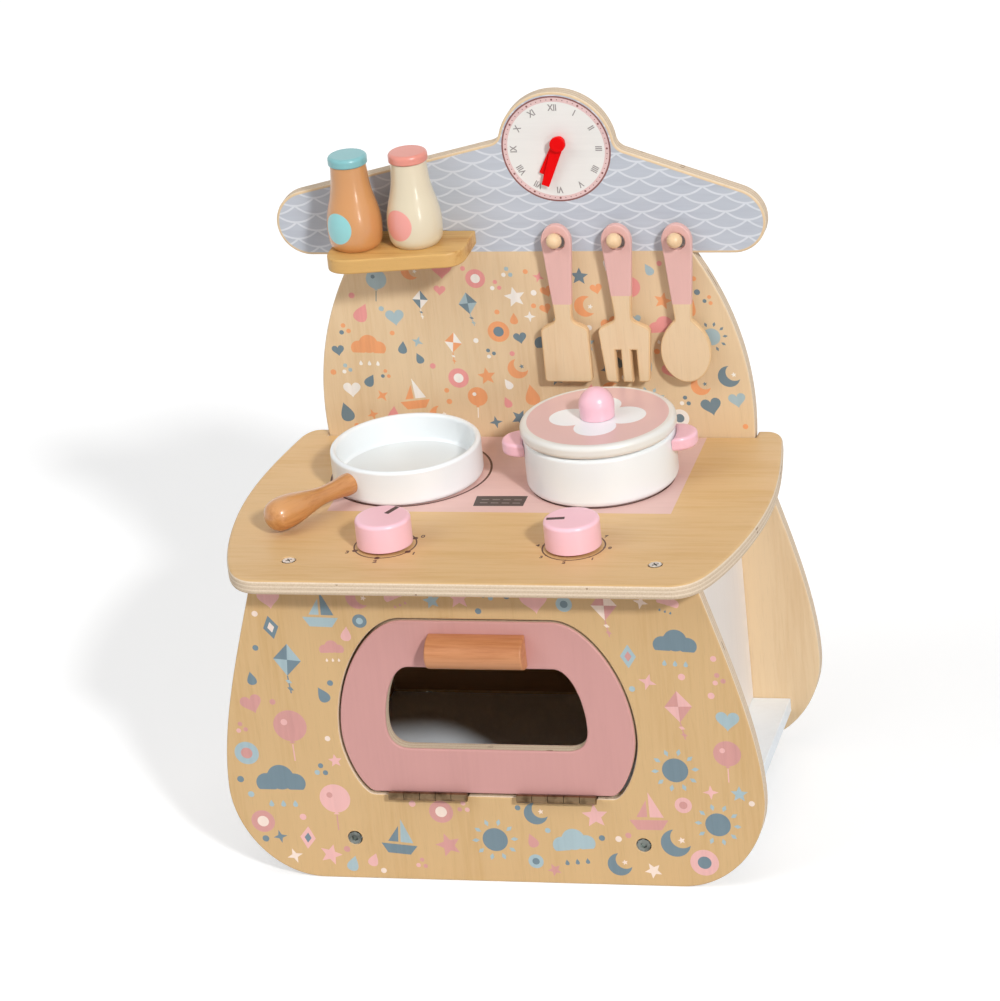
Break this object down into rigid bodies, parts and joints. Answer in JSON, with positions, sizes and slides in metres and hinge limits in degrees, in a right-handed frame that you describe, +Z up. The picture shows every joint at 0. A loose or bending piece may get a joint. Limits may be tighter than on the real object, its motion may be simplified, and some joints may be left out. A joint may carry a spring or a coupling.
{
  "type": "toy kitchen",
  "caption": "Wooden tabletop toy kitchen: curved plywood cabinet, drop-down oven door, hob with knobs, pan and lidded pot, hooded back board with clock, spice shelf and hanging utensils.",
  "frame": {"origin": "middle of the footprint, on the table that the toy stands on", "axes": "+X to the right seen from the front, +Y towards the back board, +Z up"},
  "size_m": [0.36, 0.2426, 0.4742],
  "materials": {
    "birch_plywood": "satin lacquer over printed faces",
    "white_paint": "satin paint",
    "door_pink": "satin paint",
    "beech": "clear lacquer",
    "turned_beech": "clear lacquer",
    "pale_wood": "bare, sanded",
    "pot_white": "semi-gloss paint",
    "knob_pink": "semi-gloss paint",
    "salmon": "semi-gloss paint",
    "turquoise": "semi-gloss paint",
    "cream": "semi-gloss paint",
    "clock_red": "glossy",
    "brass": "aged",
    "steel": "bright",
    "dark_steel": "black oxide"
  },
  "bodies": {
    "cabinet": {"front_panel": "birch_plywood", "back_panel": "birch_plywood", "countertop": "birch_plywood", "side_panel_left": "white_paint", "side_panel_right": "white_paint", "floor_panel": "white_paint", "door_stop": "beech", "catch_magnet": "steel", "spice_shelf": "birch_plywood", "clock_pin": "clock_red", "utensil_peg_1": "pale_wood", "utensil_peg_2": "pale_wood", "utensil_peg_3": "pale_wood", "knob_washer_left": "dark_steel", "knob_washer_right": "dark_steel", "front_bolt_left": "dark_steel", "front_bolt_right": "dark_steel", "back_bolt_left": "dark_steel", "back_bolt_right": "dark_steel", "counter_screw_left": "steel", "counter_screw_right": "steel", "counter_back_screw_left": "steel", "counter_back_screw_right": "steel", "shelf_screw_left": "steel", "shelf_screw_right": "steel", "hinge_left_fixed_leaf": "brass", "hinge_left_pin": "brass", "hinge_right_fixed_leaf": "brass", "hinge_right_pin": "brass"},
    "door": {"oven_door": "door_pink", "door_handle": "beech", "strike_plate": "steel", "handle_screw_left": "steel", "handle_screw_right": "steel", "hinge_left_door_leaf": "brass", "hinge_right_door_leaf": "brass"},
    "left_knob": {"knob_left": "knob_pink", "knob_spindle_left": "steel"},
    "right_knob": {"knob_right": "knob_pink", "knob_spindle_right": "steel"},
    "pan": {"pan_body": "pot_white", "pan_handle": "turned_beech"},
    "pot": {"pot_body": "pot_white", "pot_ear_left": "knob_pink", "pot_ear_right": "knob_pink"},
    "lid": {"pot_lid": "pot_white", "lid_knob": "knob_pink", "lid_screw": "steel"},
    "left_shaker": {"shaker_left_body": "turned_beech", "shaker_left_cap": "turquoise"},
    "right_shaker": {"shaker_right_body": "cream", "shaker_right_cap": "salmon"},
    "hanging_spatula": {"spatula": "pale_wood"},
    "hanging_fork": {"fork": "pale_wood"},
    "hanging_spoon": {"spoon": "pale_wood"},
    "hour_hand": {"clock_hour_hand": "clock_red"},
    "minute_hand": {"clock_minute_hand": "clock_red"}
  },
  "joints": [
    {"name": "oven_door_hinge", "type": "hinge", "parent": "cabinet", "child": "door", "pos_m": [0, -0.09705, 0.064], "axis": [1, 0, 0], "range_deg": [0, 110]},
    {"name": "left_knob_turn", "type": "hinge", "parent": "cabinet", "child": "left_knob", "pos_m": [-0.0625, -0.06425, 0.24], "axis": [0, 0, 1], "continuous": true},
    {"name": "right_knob_turn", "type": "hinge", "parent": "cabinet", "child": "right_knob", "pos_m": [0.0625, -0.06425, 0.24], "axis": [0, 0, 1], "continuous": true},
    {"name": "hour_hand_turn", "type": "hinge", "parent": "cabinet", "child": "hour_hand", "pos_m": [0.0332, 0.10995, 0.44], "axis": [0, 1, 0], "continuous": true},
    {"name": "minute_hand_turn", "type": "hinge", "parent": "cabinet", "child": "minute_hand", "pos_m": [0.0332, 0.10775, 0.44], "axis": [0, 1, 0], "continuous": true},
    {"name": "spatula_swing", "type": "hinge", "parent": "cabinet", "child": "hanging_spatula", "pos_m": [0.0266, 0.10415, 0.3755], "axis": [0, 1, 0], "range_deg": [-2, 60]},
    {"name": "fork_swing", "type": "hinge", "parent": "cabinet", "child": "hanging_fork", "pos_m": [0.0672, 0.10415, 0.3755], "axis": [0, 1, 0], "range_deg": [-2, 2]},
    {"name": "spoon_swing", "type": "hinge", "parent": "cabinet", "child": "hanging_spoon", "pos_m": [0.1078, 0.10415, 0.3755], "axis": [0, 1, 0], "range_deg": [-60, 2]},
    {"name": "pan_lift", "type": "slide", "parent": "cabinet", "child": "pan", "axis": [0, 0, 1], "range_m": [0, 0.06]},
    {"name": "pot_lift", "type": "slide", "parent": "cabinet", "child": "pot", "axis": [0, 0, 1], "range_m": [0, 0.05]},
    {"name": "lid_lift", "type": "slide", "parent": "pot", "child": "lid", "axis": [0, 0, 1], "range_m": [0, 0.04]},
    {"name": "left_shaker_lift", "type": "slide", "parent": "cabinet", "child": "left_shaker", "axis": [0, 0, 1], "range_m": [0, 0.05]},
    {"name": "right_shaker_lift", "type": "slide", "parent": "cabinet", "child": "right_shaker", "axis": [0, 0, 1], "range_m": [0, 0.05]}
  ]
}
